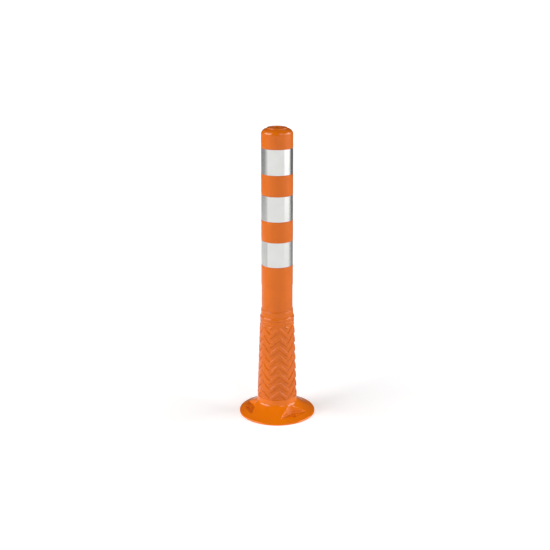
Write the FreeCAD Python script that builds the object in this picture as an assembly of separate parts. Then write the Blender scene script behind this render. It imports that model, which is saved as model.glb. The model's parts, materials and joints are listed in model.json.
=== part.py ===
import FreeCAD, Part
import math
import os

# Flexible delineator post: one hollow moulding (flange, bending skirt, tube with a domed top) and
# three reflective films in recesses round the tube. Millimetres, +Z up, origin at the middle of the
# underside. The moulding is cut across into bodies that turn against each other, so that it can bend.

# overall sizes
overall_height = 760.0
flange_diameter = 200.0
tube_diameter = 79.8

# tube, measured at the shoulder and widening slightly down to the ledge
tube_draft = 1.0
tube_wall = 3.5

# domed top
shoulder_round = 13.4
collar_inset = 0.5
collar_height = 3.2
collar_round = 2.4
top_hole_radius = 10.5
top_wall = 7.0
hole_edge_round = 1.2

# skirt, the conical part that bends
skirt_foot_height = 48.0
skirt_top_height = 250.0
skirt_step = 3.2
skirt_spread = 7.1
skirt_wall = 4.5

# ledge between the skirt and the tube, with two beads
ledge_rise = 37.0
ledge_step = 0.4
bead_count = 2
bead_below_ledge = 22.0
bead_proud = 0.2
bead_relief = 1.2
bead_width = 6.5
bead_pitch = 8.5

# recesses round the tube, and the reflective films in them
recess_count = 4
film_count = 3
recess_height = 65.6
recess_depth = 0.8
top_recess_below_top = 82.5
last_recess_above_ledge = 2.5
film_thickness = 0.5
film_clearance = 0.6
film_seat_gap = 0.02

# flange
rim_side_height = 1.3
rim_round = 3.3
rim_slope_deg = 19.5
flange_root_height = 37.6
foot_band_step = 0.8
root_fillet = 9.0

# bolt pockets
bolt_count = 3
bolt_circle_diameter = 153.0
bolt_hole_radius = 5.5
pocket_floor = 10.5
pocket_foot_behind_hole = 16.5
pocket_flare_deg = 17.0
pocket_apex_round = 26.0
pocket_wall_lean = 0.25
spotface_radius = 13.0
spotface_depth = 1.0

# hollow underside
bore_spread = 1.3
land_width = 8.0
rim_land_width = 9.0
underside_depth = 5.0
boss_radius = 14.0
rib_count = 12
rib_width = 3.5
rib_clearance = 0.5

# bending bodies
ring_count = 5
slice_gap = 0.3

# what follows from the sizes above
flange_radius = flange_diameter / 2
tube_top_radius = tube_diameter / 2
tube_foot_radius = tube_top_radius + tube_draft
skirt_top_radius = tube_foot_radius + skirt_step
skirt_foot_radius = skirt_top_radius + skirt_spread
foot_band_radius = skirt_foot_radius + foot_band_step
bore_foot_radius = skirt_foot_radius - skirt_wall + bore_spread
shoulder_height = overall_height - collar_height - shoulder_round
ledge_height = skirt_top_height + ledge_rise
bend_step = (ledge_height - skirt_foot_height) / (ring_count + 1)
hinge_heights = [skirt_foot_height + (k + 0.5) * bend_step for k in range(ring_count + 1)]
top_recess = overall_height - top_recess_below_top
last_recess = ledge_height + last_recess_above_ledge + recess_height / 2
recess_pitch = (top_recess - last_recess) / (recess_count - 1)
recess_centres = [top_recess - k * recess_pitch for k in range(recess_count)]


def at(r, z):
    """A point of a half section: radius and height."""
    return FreeCAD.Vector(r, 0, z)


def line(a, b):
    return Part.LineSegment(at(*a), at(*b)).toShape()


def arc(a, middle, b):
    return Part.Arc(at(*a), at(*middle), at(*b)).toShape()


def revolve(edges):
    """A closed half section turned once round the Z axis."""
    face = Part.Face(Part.Wire(Part.__sortEdges__(edges)))
    return face.revolve(FreeCAD.Vector(0, 0, 0), FreeCAD.Vector(0, 0, 1), 360)


def tube_radius(z):
    """Outer radius of the tube: a slight draft from the ledge to the shoulder."""
    share = (z - ledge_height) / (shoulder_height - ledge_height)
    return tube_foot_radius + share * (tube_top_radius - tube_foot_radius)


def flange_outline():
    """Outside of the flange, from the skirt's foot to the underside."""
    slope = math.radians(rim_slope_deg)
    rim_centre = (flange_radius - rim_round, rim_side_height)
    fillet_centre = (foot_band_radius + root_fillet, flange_root_height)

    def on_rim(angle):
        """A point of the rounded rim, its angle measured up from level."""
        return (
            rim_centre[0] + rim_round * math.cos(angle),
            rim_centre[1] + rim_round * math.sin(angle),
        )

    def on_fillet(angle):
        """A point of the root fillet, its angle measured down from level, towards the axis."""
        return (
            fillet_centre[0] - root_fillet * math.cos(angle),
            fillet_centre[1] - root_fillet * math.sin(angle),
        )

    # the upper face is one hollow arc, tangent to the rounded rim and to the root fillet
    rim_top = on_rim(math.pi / 2 - slope)
    across = (rim_top[0] - fillet_centre[0], rim_top[1] - fillet_centre[1])
    along_normal = across[0] * math.sin(slope) + across[1] * math.cos(slope)
    reach = across[0] ** 2 + across[1] ** 2
    face_radius = (reach - root_fillet**2) / (-2 * (along_normal + root_fillet))
    face_centre = (
        rim_top[0] + face_radius * math.sin(slope),
        rim_top[1] + face_radius * math.cos(slope),
    )
    root_turn = math.atan2(face_centre[1] - fillet_centre[1], face_centre[0] - fillet_centre[0])
    middle = (root_turn + math.pi / 2 - slope) / 2
    face_middle = (
        face_centre[0] - face_radius * math.cos(middle),
        face_centre[1] - face_radius * math.sin(middle),
    )
    return [
        line((skirt_foot_radius, skirt_foot_height), (foot_band_radius, skirt_foot_height)),
        line((foot_band_radius, skirt_foot_height), on_fillet(0)),
        arc(on_fillet(0), on_fillet(root_turn / 2), on_fillet(root_turn)),
        arc(on_fillet(root_turn), face_middle, rim_top),
        arc(rim_top, on_rim(math.pi / 4 - slope / 2), on_rim(0)),
        line(on_rim(0), (flange_radius, 0)),
    ]


def top_outline():
    """Outside of the top, from the shoulder up over the collar to the hole."""
    half = math.sqrt(0.5)
    shoulder_centre = tube_top_radius - shoulder_round
    collar_radius = shoulder_centre - collar_inset
    dome_top = shoulder_height + shoulder_round
    collar_side = overall_height - collar_round
    collar_top_radius = collar_radius - collar_round
    return [
        arc(
            (tube_top_radius, shoulder_height),
            (shoulder_centre + shoulder_round * half, shoulder_height + shoulder_round * half),
            (shoulder_centre, dome_top),
        ),
        line((shoulder_centre, dome_top), (collar_radius, dome_top)),
        line((collar_radius, dome_top), (collar_radius, collar_side)),
        arc(
            (collar_radius, collar_side),
            (collar_top_radius + collar_round * half, collar_side + collar_round * half),
            (collar_top_radius, overall_height),
        ),
        line((collar_top_radius, overall_height), (top_hole_radius + hole_edge_round, overall_height)),
        arc(
            (top_hole_radius + hole_edge_round, overall_height),
            (
                top_hole_radius + hole_edge_round * (1 - half),
                overall_height - hole_edge_round * (1 - half),
            ),
            (top_hole_radius, overall_height - hole_edge_round),
        ),
    ]


def tube_outline():
    """Outside of the tube with its recesses, from the shoulder down to the ledge."""
    points = [(tube_top_radius, shoulder_height)]
    for centre in recess_centres:
        for z in (centre + recess_height / 2, centre - recess_height / 2):
            outer = (tube_radius(z), z)
            floor = (tube_radius(z) - recess_depth, z)
            points += [outer, floor] if z > centre else [floor, outer]
    points.append((tube_foot_radius, ledge_height))
    return [line(a, b) for a, b in zip(points, points[1:])]


def ledge_outline():
    """Outside of the ledge: a small step, a cone and the beads above the skirt."""
    ledge = (tube_foot_radius + ledge_step, ledge_height)
    crest = skirt_top_radius + bead_proud
    root = crest - bead_relief
    edges = [line((tube_foot_radius, ledge_height), ledge)]
    below = ledge
    for n in range(bead_count):
        centre = ledge_height - bead_below_ledge - n * bead_pitch
        upper = (root, centre + bead_width / 2)
        lower = (root, centre - bead_width / 2)
        edges.append(line(below, upper))
        edges.append(arc(upper, (crest, centre), lower))
        below = lower
    edges.append(line(below, (skirt_top_radius, skirt_top_height)))
    return edges


def inner_outline():
    """Inside of the hollow moulding, from the top hole down to the open underside."""
    ceiling = overall_height - top_wall
    inner_round = shoulder_round - tube_wall
    inner_top_radius = tube_top_radius - recess_depth - tube_wall
    inner_foot_radius = tube_foot_radius - recess_depth - tube_wall
    half = math.sqrt(0.5)
    round_centre = (inner_top_radius - inner_round, ceiling - inner_round)
    return [
        line((top_hole_radius, overall_height - hole_edge_round), (top_hole_radius, ceiling)),
        line((top_hole_radius, ceiling), (round_centre[0], ceiling)),
        arc(
            (round_centre[0], ceiling),
            (round_centre[0] + inner_round * half, round_centre[1] + inner_round * half),
            (inner_top_radius, round_centre[1]),
        ),
        line((inner_top_radius, round_centre[1]), (inner_foot_radius, ledge_height)),
        line((inner_foot_radius, ledge_height), (skirt_top_radius - skirt_wall, skirt_top_height)),
        line(
            (skirt_top_radius - skirt_wall, skirt_top_height),
            (skirt_foot_radius - skirt_wall, skirt_foot_height),
        ),
        line((skirt_foot_radius - skirt_wall, skirt_foot_height), (bore_foot_radius, 0)),
    ]


def moulding():
    """The whole moulding as one hollow body of revolution."""
    skirt = line((skirt_top_radius, skirt_top_height), (skirt_foot_radius, skirt_foot_height))
    underside = line((bore_foot_radius, 0), (flange_radius, 0))
    outside = top_outline() + tube_outline() + ledge_outline() + [skirt] + flange_outline()
    return revolve(outside + inner_outline() + [underside])


def slab(low, high, radius):
    """A plain disc between two heights, wider than what it cuts."""
    return Part.makeCylinder(radius, high - low, FreeCAD.Vector(0, 0, low))


def between(body, low, high):
    return body.common(slab(low, high, flange_diameter))


def turned(shape, number, count):
    """A copy turned to its place in a pattern round the Z axis."""
    copy = shape.copy()
    copy.rotate(FreeCAD.Vector(0, 0, 0), FreeCAD.Vector(0, 0, 1), 360.0 * number / count)
    return copy


def pocket_wire(foot, z):
    """Plan of one bolt pocket at a height: a rounded wide V that opens towards the rim, on -Y."""
    flare = math.radians(pocket_flare_deg)
    reach = flange_diameter
    side = pocket_apex_round * math.sin(flare)
    rise = pocket_apex_round * (1 - math.cos(flare))
    end = foot + rise + (reach - side) * math.tan(flare)

    def plan(u, v):
        return FreeCAD.Vector(u, -v, z)

    corners = [plan(reach, end), plan(reach, end + reach), plan(-reach, end + reach), plan(-reach, end)]
    left = plan(-side, foot + rise)
    right = plan(side, foot + rise)
    edges = [Part.Arc(left, plan(0, foot), right).toShape()]
    edges.append(Part.LineSegment(right, corners[0]).toShape())
    edges += [Part.LineSegment(a, b).toShape() for a, b in zip(corners, corners[1:])]
    edges.append(Part.LineSegment(corners[3], left).toShape())
    return Part.Wire(edges)


def pocket_cutter():
    """What one pocket takes from the flange: the flared floor, the spotface and the bolt hole."""
    hole_at = bolt_circle_diameter / 2
    foot = hole_at - pocket_foot_behind_hole
    top = flange_root_height
    lean = pocket_wall_lean * (top - pocket_floor)
    body = Part.makeLoft([pocket_wire(foot, pocket_floor), pocket_wire(foot - lean, top)], True, True)
    seat = Part.makeCylinder(
        spotface_radius, top, FreeCAD.Vector(0, -hole_at, pocket_floor - spotface_depth)
    )
    hole = Part.makeCylinder(bolt_hole_radius, top, FreeCAD.Vector(0, -hole_at, 0))
    return body.fuse([seat, hole]).cut(slab(0, overall_height, foot_band_radius))


def underside_cutter():
    """The shallow ring of cells under the flange, round the bosses and between the ribs."""
    inner = bore_foot_radius + land_width
    outer = flange_radius - rim_land_width
    ring = slab(0, underside_depth, outer).cut(slab(0, underside_depth, inner))
    keep = []
    boss = Part.makeCylinder(
        boss_radius, underside_depth, FreeCAD.Vector(0, -bolt_circle_diameter / 2, 0)
    )
    for n in range(bolt_count):
        keep.append(turned(boss, n, bolt_count))
    rib = Part.makeBox(
        flange_radius, rib_width, underside_depth, FreeCAD.Vector(0, -rib_width / 2, rib_clearance)
    )
    for n in range(rib_count):
        keep.append(turned(rib, n + 0.5, rib_count))
    return ring.cut(keep)


def base_flange(body):
    """The moulding up to the first bending line, with its bolt pockets and underside cells."""
    shape = between(body, 0, hinge_heights[0] - slice_gap / 2)
    cutter = pocket_cutter()
    cuts = [turned(cutter, n, bolt_count) for n in range(bolt_count)]
    return shape.cut(cuts + [underside_cutter()])


def skirt_ring(body, number):
    """The stretch of skirt between two neighbouring bending lines."""
    low = hinge_heights[number] + slice_gap / 2
    high = hinge_heights[number + 1] - slice_gap / 2
    return between(body, low, high)


def upper_tube(body):
    """The stiff upper part: ledge, tube, recesses and domed top."""
    return between(body, hinge_heights[-1] + slice_gap / 2, overall_height)


def film(number):
    """One reflective film: a thin closed band lying on the floor of its recess."""
    centre = recess_centres[number]
    half = recess_height / 2 - film_clearance
    low, high = centre - half, centre + half

    def floor(z):
        return tube_radius(z) - recess_depth + film_seat_gap

    corners = [
        (floor(low), low),
        (floor(low) + film_thickness, low),
        (floor(high) + film_thickness, high),
        (floor(high), high),
    ]
    return revolve([line(a, b) for a, b in zip(corners, corners[1:] + corners[:1])])


def save(name, shape):
    solids = shape.Solids
    if len(solids) != 1 or not solids[0].isValid():
        raise ValueError(f"{name} is not one valid solid: {len(solids)} solids")
    solids[0].exportStep(f"parts/{name}.step")
    print(name, "volume", round(solids[0].Volume / 1000, 2), "cm3")


def main():
    os.makedirs("parts", exist_ok=True)
    body = moulding()
    save("base_flange", base_flange(body))
    for n in range(ring_count):
        save(f"skirt_ring_{n + 1}", skirt_ring(body, n))
    save("upper_tube", upper_tube(body))
    for n, place in enumerate(["top", "middle", "bottom"][:film_count]):
        save(f"reflective_film_{place}", film(n))


main()
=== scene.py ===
import json
import math

import bpy
import numpy as np
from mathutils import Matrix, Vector


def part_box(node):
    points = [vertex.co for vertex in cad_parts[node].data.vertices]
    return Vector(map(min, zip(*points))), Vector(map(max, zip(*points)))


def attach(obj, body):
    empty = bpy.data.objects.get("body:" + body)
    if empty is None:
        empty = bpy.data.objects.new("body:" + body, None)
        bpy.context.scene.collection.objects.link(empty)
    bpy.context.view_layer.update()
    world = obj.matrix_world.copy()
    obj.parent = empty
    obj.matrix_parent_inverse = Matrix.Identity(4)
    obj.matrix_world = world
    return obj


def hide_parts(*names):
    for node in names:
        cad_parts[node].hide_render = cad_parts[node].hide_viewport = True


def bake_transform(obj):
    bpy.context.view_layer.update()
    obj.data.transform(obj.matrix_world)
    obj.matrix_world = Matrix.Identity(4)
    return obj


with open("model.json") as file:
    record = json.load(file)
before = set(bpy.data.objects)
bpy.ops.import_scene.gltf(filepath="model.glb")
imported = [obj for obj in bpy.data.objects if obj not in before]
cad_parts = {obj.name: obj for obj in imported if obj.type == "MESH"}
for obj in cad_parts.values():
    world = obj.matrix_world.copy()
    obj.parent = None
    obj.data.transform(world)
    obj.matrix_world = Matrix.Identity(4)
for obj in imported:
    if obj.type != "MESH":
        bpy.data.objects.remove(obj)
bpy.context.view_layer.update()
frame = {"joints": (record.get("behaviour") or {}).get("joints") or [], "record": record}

MM = 0.001

# ---------------------------------------------------------------- sizes
# overall, from the frame
joints = frame["joints"]
record = frame["record"]
hinge_z = [j["pos_m"][2] for j in joints]
bend_step = hinge_z[1] - hinge_z[0]
skirt_foot_z = hinge_z[0] - bend_step / 2
ledge_z = hinge_z[-1] + bend_step / 2
flange_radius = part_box("base_flange")[1].x
top_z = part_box("upper_tube")[1].z
bolts = next(m for m in record["mounts"] if m["name"] == "anchor_bolts")["dims"]
bolt_circle_radius = bolts["pcd_mm"] * MM / 2
bolt_hole_radius = bolts["hole_r_mm"] * MM
top_hole_radius = next(m for m in record["mounts"] if m["name"] == "top_hole")["dims"]["r_mm"] * MM

# tube and top
tube_top_radius = 39.9 * MM
tube_foot_radius = 40.9 * MM
tube_wall = 3.5 * MM
shoulder_round = 13.4 * MM
collar_height = 3.2 * MM
collar_inset = 0.5 * MM
collar_round = 2.4 * MM
top_wall = 7.0 * MM
shoulder_z = top_z - collar_height - shoulder_round
recess_height = 65.6 * MM
recess_depth = 0.8 * MM
edge_round = 0.35 * MM

# skirt
skirt_top_z = 250 * MM
skirt_top_radius = 44.1 * MM
skirt_foot_radius = 51.2 * MM
foot_band_radius = 52.0 * MM
skirt_wall = 4.5 * MM
bore_foot_radius = 48.0 * MM

# chevrons on the skirt
chevron_count = 6
chevron_low_angle = math.radians(-60.6)
chevron_pitch = 25.1 * MM
chevron_rise = 21 * MM
chevron_tip_z = 223.5 * MM
ridge_half = 5.6 * MM
ridge_flank = 1.3 * MM
ridge_relief = 0.95 * MM
ridge_edge_blend = 0.22
zigzag_round = 0.04
foot_border = 1.6 * MM
top_border = 6.0 * MM

# neck between the chevrons and the tube: a lip under the tube and two flat beads below it
lip_edge = 0.5 * MM
lip_proud = 0.7 * MM
lip_top_z = ledge_z + 0.2 * MM
lip_bottom_z = ledge_z - 20 * MM
lip_round = 1.6 * MM
upper_bead_proud = 0.35 * MM
upper_bead_top_z = ledge_z - 14.6 * MM
upper_bead_bottom_z = ledge_z - 26 * MM
upper_bead_round = 5.0 * MM
lower_bead_top_z = ledge_z - 28 * MM
lower_bead_bottom_z = ledge_z - 34 * MM
lower_bead_round = 1.2 * MM
neck_blend = 0.4 * MM

# flange
rim_side_z = 1.3 * MM
rim_round = 3.3 * MM
rim_slope = math.radians(19.5)
flange_root_z = 37.6 * MM
root_fillet = 9.0 * MM
pocket_floor_z = 10.5 * MM
pocket_foot = bolt_circle_radius - 16.5 * MM
pocket_flare = math.radians(17)
pocket_apex_round = 26 * MM
pocket_steepness = 1 / 0.25
pocket_floor_blend = 2.2 * MM
pocket_edge_least = 0.5 * MM
pocket_edge_round = 2.6 * MM
pocket_full_edge = 4 * MM
seat_steepness = 6
seat_blend = 0.35 * MM
spotface_radius = 13 * MM
spotface_depth = 1.0 * MM
underside_depth = 5.0 * MM
land_inner = bore_foot_radius + 8 * MM
land_outer = flange_radius - 9 * MM
boss_radius = 14 * MM
rib_count = 12
rib_width = 3.5 * MM


# ---------------------------------------------------------------- shaping helpers
def smoothstep(x, low, high):
    t = np.clip((x - low) / (high - low), 0, 1)
    return t * t * (3 - 2 * t)


def soft_min(a, b, blend):
    """The lower of two heights, with the corner between them rounded."""
    h = np.clip(0.5 + 0.5 * (b - a) / blend, 0, 1)
    return b * (1 - h) + a * h - blend * h * (1 - h)


def soft_max(a, b, blend):
    return -soft_min(-a, -b, blend)


def arc_points(centre, radius, start_deg, end_deg, count):
    """Points (radius, height) on an arc in the half section."""
    angles = np.radians(np.linspace(start_deg, end_deg, count))
    return [(centre[0] + radius * math.cos(a), centre[1] + radius * math.sin(a)) for a in angles]


def run(a, b, count):
    """Points on a straight stretch of the half section, without its last point."""
    share = np.arange(count) / count
    return [(a[0] + s * (b[0] - a[0]), a[1] + s * (b[1] - a[1])) for s in share]


def ring_grid(name, radius, height, angles, material):
    """A closed piece from rows of points round the axis; radius and height are (rows, segments) arrays."""
    rows, segments = radius.shape
    x = radius * np.sin(angles)[None, :]
    y = -radius * np.cos(angles)[None, :]
    points = np.stack([x, y, height], axis=-1).reshape(-1, 3)
    index = np.arange(rows * segments).reshape(rows, segments)
    below = np.roll(index, -1, axis=0)
    a, b = index, np.roll(index, -1, axis=1)
    c, d = np.roll(below, -1, axis=1), below
    faces = np.stack([a, b, c, d], axis=-1).reshape(-1, 4)
    mesh = bpy.data.meshes.new(name)
    mesh.from_pydata(points.tolist(), [], faces.tolist())
    mesh.update()
    mesh.shade_smooth()
    piece = bpy.data.objects.new(name, mesh)
    bpy.context.scene.collection.objects.link(piece)
    piece.data.materials.append(material)
    return piece


def revolved(name, profile, segments, material):
    """A closed half section, listed clockwise seen with the axis on the left, turned round the axis."""
    profile = np.array(profile)
    angles = np.arange(segments) * 2 * math.pi / segments
    radius = np.repeat(profile[:, :1], segments, axis=1)
    height = np.repeat(profile[:, 1:], segments, axis=1)
    return ring_grid(name, radius, height, angles, material)


def sharpen(piece, angle_deg=40):
    piece.data.set_sharp_from_angle(angle=math.radians(angle_deg))


# ---------------------------------------------------------------- half sections of the moulding
def tube_radius(z):
    share = (z - ledge_z) / (shoulder_z - ledge_z)
    return tube_foot_radius + share * (tube_top_radius - tube_foot_radius)


def skirt_mean_radius(z):
    share = (z - skirt_foot_z) / (skirt_top_z - skirt_foot_z)
    return skirt_foot_radius + share * (skirt_top_radius - skirt_foot_radius)


def inner_radius(z):
    """Inside of the hollow, from the underside to the top of the tube."""
    heights = [0, skirt_foot_z, skirt_top_z, ledge_z, shoulder_z]
    radii = [
        bore_foot_radius,
        skirt_foot_radius - skirt_wall,
        skirt_top_radius - skirt_wall,
        tube_foot_radius - recess_depth - tube_wall,
        tube_top_radius - recess_depth - tube_wall,
    ]
    return np.interp(z, heights, radii)


def neck_radius(z):
    """Outside between the chevrons and the tube: a cone, two flat beads and a lip under the tube."""
    cone = np.interp(
        z,
        [skirt_top_z, ledge_z - 16 * MM, ledge_z - lip_edge, ledge_z],
        [skirt_top_radius - 0.6 * MM, tube_foot_radius + 1.5 * MM,
         tube_foot_radius + 0.5 * MM, tube_foot_radius + 0.1 * MM],
    )
    result = cone
    bands = (
        (tube_foot_radius + lip_proud, lip_top_z, lip_bottom_z, lip_round),
        (skirt_top_radius + upper_bead_proud, upper_bead_top_z, upper_bead_bottom_z, upper_bead_round),
        (skirt_top_radius, lower_bead_top_z, lower_bead_bottom_z, lower_bead_round),
    )
    for crest, top, bottom, edge in bands:
        past_edge = np.maximum(z - (top - edge), 0) + np.maximum(bottom + edge - z, 0)
        bead = crest - edge + np.sqrt(np.maximum(edge**2 - np.minimum(past_edge, edge) ** 2, 0))
        bead = np.where(past_edge >= edge, 0, bead)
        result = soft_max(result, bead, neck_blend)
    return result


def chevron_zigzag(angles):
    """Height of the zigzag over its low points."""
    period = 2 * math.pi / chevron_count
    phase = np.abs(((angles - chevron_low_angle) / period + 0.5) % 1 - 0.5) * 2
    rounded = np.sqrt(phase**2 + zigzag_round**2) - zigzag_round
    from_top = 1 - phase
    rounded_top = 1 - (np.sqrt(from_top**2 + zigzag_round**2) - zigzag_round)
    return chevron_rise * np.where(phase < 0.5, rounded, rounded_top)


def skirt_outer(angles, z):
    """Outer radius of the skirt with its chevron ridges, plain at both borders."""
    angle_grid = angles[None, :]
    z_grid = z[:, None]
    along = (z_grid - chevron_tip_z - chevron_zigzag(angle_grid)) / chevron_pitch
    off_ridge = np.abs(along - np.round(along)) * chevron_pitch
    flank = (ridge_half - off_ridge) / ridge_flank + 0.5
    ridge = soft_max(soft_min(flank, 1.0, ridge_edge_blend), 0.0, ridge_edge_blend)
    patterned = skirt_mean_radius(z_grid) + ridge_relief * (2 * ridge - 1)
    low = smoothstep(z_grid, skirt_foot_z + 0.2 * MM, skirt_foot_z + foot_border)
    high = smoothstep(z_grid, skirt_top_z - top_border, skirt_top_z + 1 * MM)
    outer = foot_band_radius + (patterned - foot_band_radius) * low
    return outer + (neck_radius(z_grid) - outer) * high


# ---------------------------------------------------------------- the flange
def plain_flange_section():
    """Outside of the flange without its pockets, from the rim's side up to the foot of the skirt.

    The upper face is one hollow arc, tangent to the rounded rim and to the root fillet."""
    rim = (flange_radius - rim_round, rim_side_z)
    fillet = (foot_band_radius + root_fillet, flange_root_z)
    normal = (math.sin(rim_slope), math.cos(rim_slope))
    rim_top = (rim[0] + rim_round * normal[0], rim[1] + rim_round * normal[1])
    across = (rim_top[0] - fillet[0], rim_top[1] - fillet[1])
    along_normal = across[0] * normal[0] + across[1] * normal[1]
    reach = across[0] ** 2 + across[1] ** 2
    face_radius = (reach - root_fillet**2) / (-2 * (along_normal + root_fillet))
    face = (rim_top[0] + face_radius * normal[0], rim_top[1] + face_radius * normal[1])
    root_turn = math.degrees(math.atan2(face[1] - fillet[1], face[0] - fillet[0]))
    points = run((flange_radius, 0), (flange_radius, rim_side_z), 3)
    points += arc_points(rim, rim_round, 0, 90 - math.degrees(rim_slope), 12)
    points += arc_points(face, face_radius, -90 - math.degrees(rim_slope), root_turn - 180, 70)[1:-1]
    points += arc_points(fillet, root_fillet, root_turn - 180, -180, 24)
    points += run(points[-1], (foot_band_radius, skirt_foot_z), 6)[1:]
    points.append((foot_band_radius, skirt_foot_z))
    return np.array(points)


def pocket_foot_line(u):
    """Distance from the axis of a pocket's foot, a wide V with a rounded apex, at u to the side."""
    side = pocket_apex_round * math.sin(pocket_flare)
    rise = pocket_apex_round * (1 - math.cos(pocket_flare))
    near = pocket_foot + pocket_apex_round - np.sqrt(pocket_apex_round**2 - np.minimum(u**2, side**2))
    far = pocket_foot + rise + (np.abs(u) - side) * math.tan(pocket_flare)
    return np.where(np.abs(u) < side, near, far)


def bolt_local(radius, angles):
    """Position in the frame of the nearest bolt hole: sideways, and outwards from the axis."""
    third = 2 * math.pi / 3
    local = (angles + third / 2) % third - third / 2
    return radius * np.sin(local), radius * np.cos(local)


def with_pockets(radius, z, angles):
    """Height of the flange's upper surface with the bolt pockets and the seats round the holes cut."""
    u, v = bolt_local(radius, angles)
    wall = pocket_floor_z + (pocket_foot_line(u) - v) * pocket_steepness
    pocket = soft_max(wall, pocket_floor_z, pocket_floor_blend)
    on_wall = smoothstep(wall - pocket_floor_z, pocket_edge_least, pocket_full_edge)
    corner = pocket_edge_least + pocket_edge_round * on_wall
    z = soft_min(z, pocket, corner)
    from_hole = np.hypot(u, v - bolt_circle_radius)
    past_seat = np.maximum(from_hole - spotface_radius, 0)
    seat = pocket_floor_z - spotface_depth + past_seat * seat_steepness
    return soft_min(z, seat, seat_blend)


def respaced(radius, z, rows):
    """Rows along each column of a surface, evenly spread and closer together where the section bends."""
    dr, dz = np.diff(radius, axis=0), np.diff(z, axis=0)
    length = np.hypot(dr, dz)
    turn = np.abs(np.diff(np.unwrap(np.arctan2(dz, dr), axis=0), axis=0))
    bend = np.zeros_like(length)
    bend[:-1] += turn / 2
    bend[1:] += turn / 2
    rate = length / MM + bend * 5
    travelled = np.vstack([np.zeros(radius.shape[1]), np.cumsum(rate, axis=0)])
    new_radius = np.empty((rows, radius.shape[1]))
    new_z = np.empty_like(new_radius)
    for column in range(radius.shape[1]):
        marks = np.linspace(0, travelled[-1, column], rows)
        new_radius[:, column] = np.interp(marks, travelled[:, column], radius[:, column])
        new_z[:, column] = np.interp(marks, travelled[:, column], z[:, column])
    return new_radius, new_z


def underside_height(radius, angles):
    """Hollow cells under the flange, left solid at the rims, round each bolt and along the ribs."""
    wall = 0.9 * MM
    u, v = bolt_local(radius, angles)
    open_ring = smoothstep(radius, land_inner, land_inner + wall)
    open_ring *= 1 - smoothstep(radius, land_outer - wall, land_outer)
    open_ring = open_ring * smoothstep(np.hypot(u, v - bolt_circle_radius), boss_radius, boss_radius + wall)
    pitch = 2 * math.pi / rib_count
    off_rib = np.abs((angles / pitch) % 1 - 0.5) * pitch * radius
    on_rib = 1 - smoothstep(off_rib, rib_width / 2, rib_width / 2 + wall)
    return open_ring * (underside_depth * (1 - on_rib) + 0.5 * MM * on_rib)


def flange_piece(name, material):
    segments = 600
    angles = np.arange(segments) * 2 * math.pi / segments
    section = plain_flange_section()
    fine = np.linspace(0, 1, 900)
    along = np.concatenate([[0], np.cumsum(np.hypot(*np.diff(section, axis=0).T))])
    radius = np.interp(fine * along[-1], along, section[:, 0])
    z = np.interp(fine * along[-1], along, section[:, 1])
    radius = np.repeat(radius[:, None], segments, axis=1)
    z = np.repeat(z[:, None], segments, axis=1)
    pocketed = with_pockets(radius, z, angles[None, :])
    z = np.where(radius > foot_band_radius + 0.2 * MM, np.minimum(z, pocketed), z)
    top_radius, top_z = respaced(radius, z, 96)
    inner = np.array(
        run((inner_radius(skirt_foot_z), skirt_foot_z), (bore_foot_radius, 0), 5)
    )
    low_r = np.concatenate(
        [
            [bore_foot_radius, bore_foot_radius + 3 * MM],
            np.arange(land_inner - 0.2 * MM, land_outer + 0.4 * MM, 0.75 * MM),
            [flange_radius - 4 * MM],
        ]
    )
    low_z = underside_height(low_r[:, None], angles[None, :])
    rows_r = np.vstack(
        [top_radius, np.repeat(inner[:, :1], segments, 1), np.repeat(low_r[:, None], segments, 1)]
    )
    rows_z = np.vstack([top_z, np.repeat(inner[:, 1:], segments, 1), low_z])
    piece = ring_grid(name, rows_r, rows_z, angles, material)
    for number in range(bolts["count"]):
        turn = 2 * math.pi * number / bolts["count"]
        drill(piece, bolt_circle_radius * math.sin(turn), -bolt_circle_radius * math.cos(turn))
    sharpen(piece, 42)
    return piece


def drill(piece, x, y):
    """One bolt hole with a small chamfer at its mouth."""
    seat = pocket_floor_z - spotface_depth
    chamfer = 0.6 * MM
    half_section = [
        (0, -2 * MM),
        (bolt_hole_radius + chamfer, -2 * MM),
        (bolt_hole_radius + chamfer, 0),
        (bolt_hole_radius, chamfer),
        (bolt_hole_radius, seat - chamfer),
        (bolt_hole_radius + chamfer, seat),
        (bolt_hole_radius + chamfer, seat + 3 * MM),
        (0, seat + 3 * MM),
    ]
    segments = 48
    points, faces = [], []
    for radius, height in half_section[1:-1]:
        for k in range(segments):
            turn = 2 * math.pi * k / segments
            points.append((x + radius * math.cos(turn), y + radius * math.sin(turn), height))
    for row in range(len(half_section) - 3):
        for k in range(segments):
            a, b = row * segments + k, row * segments + (k + 1) % segments
            faces.append((a, b, b + segments, a + segments))
    last = (len(half_section) - 3) * segments
    faces.append(tuple(range(segments - 1, -1, -1)))
    faces.append(tuple(range(last, last + segments)))
    mesh = bpy.data.meshes.new("drill")
    mesh.from_pydata(points, [], faces)
    mesh.shade_smooth()
    cutter = bpy.data.objects.new("drill", mesh)
    bpy.context.scene.collection.objects.link(cutter)
    cut = piece.modifiers.new("hole", "BOOLEAN")
    cut.operation = "DIFFERENCE"
    cut.solver = "EXACT"
    cut.object = cutter
    bpy.context.view_layer.update()
    graph = bpy.context.evaluated_depsgraph_get()
    done = bpy.data.meshes.new_from_object(piece.evaluated_get(graph))
    piece.modifiers.remove(cut)
    piece.data = done
    bpy.data.objects.remove(cutter)


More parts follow.
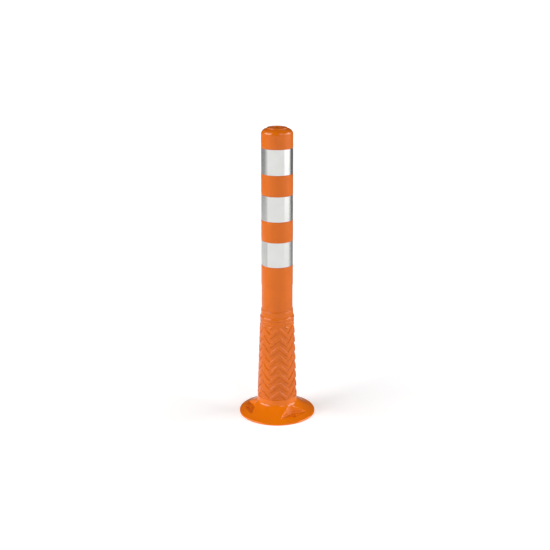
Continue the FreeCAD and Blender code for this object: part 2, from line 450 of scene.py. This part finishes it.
# ---------------------------------------------------------------- the skirt
def skirt_slice(name, low, high, material):
    """A closed slice of the skirt between two heights, shaded so that it runs on into its neighbours."""
    segments = 480
    row_count = 80
    angles = np.arange(segments) * 2 * math.pi / segments
    heights = np.linspace(low, high, row_count)
    outer = skirt_outer(angles, heights)
    inner_z = np.linspace(high, low, 7)
    inner = np.repeat(inner_radius(inner_z)[:, None], segments, axis=1)
    radius = np.vstack([outer, inner])
    z = np.repeat(np.concatenate([heights, inner_z])[:, None], segments, axis=1)
    piece = ring_grid(name, radius, z, angles, material)

    small = 0.05 * MM
    slope_z = (skirt_outer(angles, heights + small) - skirt_outer(angles, heights - small)) / (2 * small)
    turn = 1e-3
    slope_a = (skirt_outer(angles + turn, heights) - skirt_outer(angles - turn, heights)) / (2 * turn)
    sin, cos = np.sin(angles)[None, :], np.cos(angles)[None, :]
    along = slope_a / outer
    normals = np.stack([sin - along * cos, -cos - along * sin, -slope_z], axis=-1)
    normals /= np.linalg.norm(normals, axis=-1, keepdims=True)
    corner_normals = np.zeros((len(piece.data.loops), 3))
    outer_loops = (row_count - 1) * segments * 4
    loop_vertex = np.empty(len(piece.data.loops), dtype=int)
    piece.data.loops.foreach_get("vertex_index", loop_vertex)
    flat = normals.reshape(-1, 3)
    corner_normals[:outer_loops] = flat[loop_vertex[:outer_loops]]
    piece.data.normals_split_custom_set(corner_normals.tolist())
    return piece


# ---------------------------------------------------------------- the tube and its films
def tube_section():
    """Closed half section of the tube: recesses and domed top outside, hollow inside."""
    points = [(inner_radius(ledge_z), ledge_z), (tube_radius(ledge_z) - 0.2 * MM, ledge_z)]
    points.append((tube_radius(ledge_z), ledge_z + 0.2 * MM))
    for centre in recess_centres:
        low, high = centre - recess_height / 2, centre + recess_height / 2
        points += run(points[-1], (tube_radius(low - edge_round), low - edge_round), 6)[1:]
        for at, side, start, end in ((low, -1, 0, 90), (high, 1, -90, 0)):
            surface = tube_radius(at)
            corner = arc_points((surface - edge_round, at + side * edge_round), edge_round, start, end, 5)
            floor = [(surface - recess_depth, at)]
            points += corner + floor if side < 0 else floor + corner
            if side < 0:
                points += run(floor[0], (tube_radius(high) - recess_depth, high), 8)[1:]
    points += run(points[-1], (tube_top_radius, shoulder_z), 4)[1:]
    shoulder = (tube_top_radius - shoulder_round, shoulder_z)
    points += arc_points(shoulder, shoulder_round, 0, 88, 26)
    collar = shoulder[0] - collar_inset
    points.append((collar + 0.25 * MM, shoulder_z + shoulder_round))
    points.append((collar, shoulder_z + shoulder_round + 0.25 * MM))
    points += arc_points((collar - collar_round, top_z - collar_round), collar_round, 0, 90, 10)
    mouth_round = 1.2 * MM
    points += run(points[-1], (top_hole_radius + mouth_round, top_z), 5)[1:]
    points += arc_points(
        (top_hole_radius + mouth_round, top_z - mouth_round), mouth_round, 90, 180, 7
    )
    ceiling = top_z - top_wall
    inner_round = shoulder_round - tube_wall
    inside = tube_top_radius - recess_depth - tube_wall
    points += run(points[-1], (top_hole_radius, ceiling + 0.5 * MM), 4)[1:]
    points.append((top_hole_radius + 0.5 * MM, ceiling))
    points += arc_points((inside - inner_round, ceiling - inner_round), inner_round, 90, 0, 12)
    points += run(points[-1], (inner_radius(ledge_z), ledge_z), 24)[1:]
    return points


def film_section(centre):
    """Closed half section of one film, with slightly rounded edges."""
    half = recess_height / 2 - film_clearance
    low, high = centre - half, centre + half
    soft = 0.15 * MM

    def inside(z):
        return tube_radius(z) - recess_depth + film_seat

    points = [(inside(low), low), (inside(low) + film_thickness - soft, low)]
    points += run(
        (inside(low) + film_thickness, low + soft), (inside(high) + film_thickness, high - soft), 12
    )
    points += [
        (inside(high) + film_thickness, high - soft),
        (inside(high) + film_thickness - soft, high),
        (inside(high), high),
    ]
    return points


def film_piece(name, centre, seam_deg, material):
    """A film wrapped once round its recess, its end lapped over its start."""
    segments = 360
    angles = np.arange(segments) * 2 * math.pi / segments
    section = np.array(film_section(centre))
    seam = math.radians(seam_deg)
    past_seam = (angles - seam) % (2 * math.pi)
    lap = math.radians(lap_deg)
    lift = np.where(past_seam < lap, 1.0, 0.0)
    lift *= 1 - smoothstep(past_seam, lap * 0.9, lap)
    outer_side = section[:, 0] > section[:, 0].min() + film_thickness * 0.5
    radius = section[:, :1] + np.outer(outer_side, lift) * lap_height
    z = np.repeat(section[:, 1:], segments, axis=1)
    return ring_grid(name, radius, z, angles, material)


# ---------------------------------------------------------------- materials
def new_material(name):
    material = bpy.data.materials.new(name)
    material.use_nodes = True
    nodes, links = material.node_tree.nodes, material.node_tree.links
    shader = next(n for n in nodes if n.type == "BSDF_PRINCIPLED")
    place = nodes.new("ShaderNodeTexCoord")
    return material, nodes, links, shader, place.outputs["Object"]


def noise(nodes, links, place, scale, detail, roughness=0.5, stretch=None):
    if stretch:
        mapping = nodes.new("ShaderNodeMapping")
        mapping.inputs["Scale"].default_value = stretch
        links.new(place, mapping.inputs["Vector"])
        place = mapping.outputs["Vector"]
    texture = nodes.new("ShaderNodeTexNoise")
    texture.inputs["Scale"].default_value = scale
    texture.inputs["Detail"].default_value = detail
    texture.inputs["Roughness"].default_value = roughness
    links.new(place, texture.inputs["Vector"])
    return texture.outputs["Fac"]


def spread(nodes, links, value, low, high, out_low, out_high):
    """Maps low..high of a value onto out_low..out_high."""
    node = nodes.new("ShaderNodeMapRange")
    for socket, number in zip(("From Min", "From Max", "To Min", "To Max"), (low, high, out_low, out_high)):
        node.inputs[socket].default_value = number
    links.new(value, node.inputs["Value"])
    return node.outputs["Result"]


def mixed(nodes, links, share, first, second):
    """A colour between two, each a plain colour or another node's output."""
    node = nodes.new("ShaderNodeMix")
    node.data_type = "RGBA"
    links.new(share, node.inputs["Factor"])
    for socket, colour in ((node.inputs["A"], first), (node.inputs["B"], second)):
        if isinstance(colour, tuple):
            socket.default_value = (*colour, 1)
        else:
            links.new(colour, socket)
    return node.outputs["Result"]


def bumps(nodes, links, shader, layers):
    """Stacks bump layers of (height output, depth in metres)."""
    below = None
    for height, depth in layers:
        node = nodes.new("ShaderNodeBump")
        node.inputs["Strength"].default_value = 1.0
        node.inputs["Distance"].default_value = depth
        links.new(height, node.inputs["Height"])
        if below:
            links.new(below, node.inputs["Normal"])
        below = node.outputs["Normal"]
    links.new(below, shader.inputs["Normal"])


def moulded_plastic(name, deep, bright, rough_low, rough_high):
    """Orange polyurethane: fine moulded grain, slow colour drift and faint paler scuffs."""
    material, nodes, links, shader, place = new_material(name)
    drift = noise(nodes, links, place, 14, 4)
    colour = mixed(nodes, links, spread(nodes, links, drift, 0.3, 0.7, 0, 1), deep, bright)
    speck = noise(nodes, links, place, 420, 3)
    darker = tuple(c * 0.86 for c in deep)
    colour = mixed(nodes, links, spread(nodes, links, speck, 0.58, 0.8, 0, 0.35), colour, darker)
    scuff = noise(nodes, links, place, 55, 6, 0.7, (1, 1, 0.35))
    scuffed = spread(nodes, links, scuff, 0.6, 0.78, 0, 0.08)
    paler = tuple(c + (0.9 - c) * 0.3 for c in bright)
    links.new(mixed(nodes, links, scuffed, colour, paler), shader.inputs["Base Color"])
    patches = noise(nodes, links, place, 38, 5)
    links.new(
        spread(nodes, links, patches, 0.3, 0.7, rough_low, rough_high), shader.inputs["Roughness"]
    )
    shader.inputs["IOR"].default_value = 1.43
    ripple = noise(nodes, links, place, 90, 2)
    grain = noise(nodes, links, place, 1500, 2)
    bumps(nodes, links, shader, [(ripple, 0.00016), (grain, 0.00002)])
    return material


def reflective_sheeting(name):
    """Silver-white retroreflective film: a fine honeycomb of sealed cells over a metallised ground."""
    material, nodes, links, shader, place = new_material(name)
    cells = nodes.new("ShaderNodeTexVoronoi")
    cells.feature = "DISTANCE_TO_EDGE"
    cells.inputs["Scale"].default_value = 360
    cells.inputs["Randomness"].default_value = 0.25
    links.new(place, cells.inputs["Vector"])
    wall = spread(nodes, links, cells.outputs["Distance"], 0.02, 0.09, 1, 0)
    drift = noise(nodes, links, place, 22, 4)
    ground = mixed(
        nodes, links, spread(nodes, links, drift, 0.3, 0.7, 0, 1), (0.80, 0.80, 0.775), (0.86, 0.86, 0.84)
    )
    colour = mixed(nodes, links, spread(nodes, links, wall, 0, 1, 0, 0.35), ground, (0.95, 0.95, 0.94))
    links.new(colour, shader.inputs["Base Color"])
    patches = noise(nodes, links, place, 60, 4)
    links.new(spread(nodes, links, patches, 0.3, 0.7, 0.13, 0.19), shader.inputs["Roughness"])
    shader.inputs["Metallic"].default_value = 0.95
    shader.inputs["Coat Weight"].default_value = 0.5
    shader.inputs["Coat Roughness"].default_value = 0.06
    ripple = noise(nodes, links, place, 45, 2)
    bumps(nodes, links, shader, [(ripple, 0.00012), (wall, 0.000012)])
    return material


tube_orange = moulded_plastic(
    "tube_orange", (0.575, 0.114, 0.0004), (0.63, 0.128, 0.0008), 0.16, 0.24
)
skirt_orange = moulded_plastic(
    "skirt_orange", (0.575, 0.114, 0.0004), (0.63, 0.128, 0.0008), 0.15, 0.22
)
# The flange is the same orange plastic as the tube and skirt, painted lighter: painted light for its
# upward-facing surfaces.
flange_orange_painted_light = moulded_plastic(
    "flange_orange_painted_light", (0.70, 0.150, 0.001), (0.76, 0.166, 0.001), 0.12, 0.18
)
film_silver = reflective_sheeting("film_silver")

# ---------------------------------------------------------------- the pieces
film_seat = 0.02 * MM
film_thickness = 0.5 * MM
film_clearance = 0.6 * MM
lap_height = 0.22 * MM
lap_deg = 11
film_seams_deg = (138, 150, 143)
film_nodes = ["reflective_film_bottom", "reflective_film_middle", "reflective_film_top"]
film_centres = [(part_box(n)[0].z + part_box(n)[1].z) / 2 for n in film_nodes]
recess_pitch = film_centres[1] - film_centres[0]
recess_centres = [film_centres[0] - recess_pitch, *film_centres]

flange = flange_piece("flange", flange_orange_painted_light)
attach(flange, "base")
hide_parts("base_flange")

for number, pivot in enumerate(hinge_z, start=1):
    low, high = pivot - bend_step / 2, pivot + bend_step / 2
    piece = skirt_slice(f"skirt_slice_{number}", low, high, skirt_orange)
    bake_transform(piece)
    if number < len(hinge_z):
        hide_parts(f"skirt_ring_{number}")

tube = revolved("tube", tube_section(), 320, tube_orange)
sharpen(tube, 35)
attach(tube, "post")
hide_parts("upper_tube")

for node, centre, seam_deg in zip(film_nodes, film_centres, film_seams_deg):
    film = film_piece(node.replace("reflective_", "") + "_skin", centre, seam_deg, film_silver)
    sharpen(film, 35)
    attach(film, "post")
    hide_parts(node)

# ---------------------------------------------------------------- floor, light and camera
floor_material, nodes, links, shader, place = new_material("studio_floor")
mottle = noise(nodes, links, place, 3, 3)
links.new(
    mixed(nodes, links, mottle, (0.86, 0.86, 0.86), (0.88, 0.88, 0.88)), shader.inputs["Base Color"]
)
shader.inputs["Roughness"].default_value = 0.85
shader.inputs["Specular IOR Level"].default_value = 0.1
shader.inputs["Emission Color"].default_value = (1, 1, 1, 1)
shader.inputs["Emission Strength"].default_value = 0.3
floor_mesh = bpy.data.meshes.new("studio_floor")
floor_reach = 30.0
floor_z = -0.6 * MM
corner_signs = ((-1, -1), (1, -1), (1, 1), (-1, 1))
floor_mesh.from_pydata(
    [(x * floor_reach, y * floor_reach, floor_z) for x, y in corner_signs], [], [(0, 1, 2, 3)]
)
floor = bpy.data.objects.new("studio_floor", floor_mesh)
floor.data.materials.append(floor_material)
floor.visible_glossy = False
bpy.context.scene.collection.objects.link(floor)

camera_azimuth = math.radians(-36.6)
camera_distance = 2.5703
camera_height = 1.1691
camera_pitch = math.radians(17.11)
camera_lens = 68.3
camera_sensor = 36
camera_shift = -0.00385


def round_the_object(azimuth_deg, distance, height):
    """A place round the axis, its azimuth counted from the camera's, positive to the camera's right."""
    turn = camera_azimuth + math.radians(azimuth_deg)
    return Vector((distance * math.sin(turn), -distance * math.cos(turn), height))


camera_data = bpy.data.cameras.new("camera")
camera_data.lens = camera_lens
camera_data.sensor_width = camera_sensor
camera_data.shift_x = camera_shift
camera_data.clip_end = 100
camera = bpy.data.objects.new("camera", camera_data)
camera.location = round_the_object(0, camera_distance, camera_height)
camera.rotation_euler = (math.pi / 2 - camera_pitch, 0, camera_azimuth)
bpy.context.scene.collection.objects.link(camera)
bpy.context.scene.camera = camera


def maths(nodes, links, operation, first, second=None):
    """One Math node; each input is a number or another node's output."""
    node = nodes.new("ShaderNodeMath")
    node.operation = operation
    for socket, value in zip(node.inputs, (first, second)):
        if isinstance(value, (int, float)):
            socket.default_value = value
        elif value is not None:
            links.new(value, socket)
    return node.outputs["Value"]


def window(nodes, links, value, low, high, soft):
    """1 where a value lies between two limits and 0 outside them, with soft edges."""
    rising = nodes.new("ShaderNodeMapRange")
    falling = nodes.new("ShaderNodeMapRange")
    for node, edge, start, end in ((rising, low, 0, 1), (falling, high, 1, 0)):
        node.interpolation_type = "SMOOTHSTEP"
        node.inputs["From Min"].default_value = edge - soft
        node.inputs["From Max"].default_value = edge + soft
        node.inputs["To Min"].default_value = start
        node.inputs["To Max"].default_value = end
        links.new(value, node.inputs["Value"])
    return maths(nodes, links, "MULTIPLY", rising.outputs["Result"], falling.outputs["Result"])


def studio_world():
    """White surroundings for the camera; for light and reflections, a dim room with lights and cards."""
    world = bpy.data.worlds.new("studio")
    world.use_nodes = True
    nodes, links = world.node_tree.nodes, world.node_tree.links
    nodes.clear()
    place = nodes.new("ShaderNodeTexCoord")
    turned = nodes.new("ShaderNodeMapping")
    turned.inputs["Rotation"].default_value = (0, 0, -camera_azimuth)
    links.new(place.outputs["Generated"], turned.inputs["Vector"])
    split = nodes.new("ShaderNodeSeparateXYZ")
    links.new(turned.outputs["Vector"], split.inputs["Vector"])
    towards = maths(nodes, links, "MULTIPLY", split.outputs["Y"], -1.0)
    azimuth = maths(nodes, links, "ARCTAN2", split.outputs["X"], towards)
    azimuth = maths(nodes, links, "MULTIPLY", azimuth, 180 / math.pi)
    elevation = maths(nodes, links, "ARCSINE", split.outputs["Z"])
    elevation = maths(nodes, links, "MULTIPLY", elevation, 180 / math.pi)

    total = None
    for az_low, az_high, az_soft, el_low, el_high, el_soft, strength in studio_panels:
        across = window(nodes, links, azimuth, az_low, az_high, az_soft)
        up = window(nodes, links, elevation, el_low, el_high, el_soft)
        panel = maths(nodes, links, "MULTIPLY", across, up)
        panel = maths(nodes, links, "MULTIPLY", panel, strength)
        total = panel if total is None else maths(nodes, links, "ADD", total, panel)
    total = maths(nodes, links, "ADD", total, room_strength)
    total = maths(nodes, links, "MAXIMUM", total, 0.0)

    room = nodes.new("ShaderNodeBackground")
    links.new(total, room.inputs["Strength"])
    seen = nodes.new("ShaderNodeBackground")
    seen.inputs["Strength"].default_value = backdrop_strength
    for background in (room, seen):
        background.inputs["Color"].default_value = (1, 1, 1, 1)
    rays = nodes.new("ShaderNodeLightPath")
    choice = nodes.new("ShaderNodeMixShader")
    output = nodes.new("ShaderNodeOutputWorld")
    links.new(rays.outputs["Is Camera Ray"], choice.inputs["Fac"])
    links.new(room.outputs["Background"], choice.inputs[1])
    links.new(seen.outputs["Background"], choice.inputs[2])
    links.new(choice.outputs["Shader"], output.inputs["Surface"])
    return world


room_strength = 0.05
backdrop_strength = 1.1
# Each panel: azimuth counted from the camera's, positive to its right (low, high, softness), then
# elevation (low, high, softness), in degrees, then strength.
studio_panels = [
    (-108, -46, 3, 10, 36, 3, 6.3),  # left softbox
    (-80, -46, 3, 36, 50, 3, 4.5),  # its dimmer upper part
    (20, 46, 3, 16, 48, 3, 3.6),  # front right softbox
    (64, 114, 3, 10, 36, 3, 6.6),  # right softbox
    (-87, 107, 20, -90, 0, 5, 0.83),  # pale table in front
    (54, 106, 3, -12.2, 4, 2.8, 0.5),  # bright card beside it, seen in the films
    (-190, -92, 8, -90, 0, 5, 0.15),  # dark left rear
    (-190, -92, 10, -90, -13.6, 3.5, 0.55),  # table at the left rear
    (107, 190, 5, -90, -15, 5, 0.32),  # table at the right rear
    (172, 190, 8, -90, 0, 5, 0.35),  # far rear
]
bpy.context.scene.world = studio_world()
bpy.context.scene.view_settings.view_transform = "Standard"
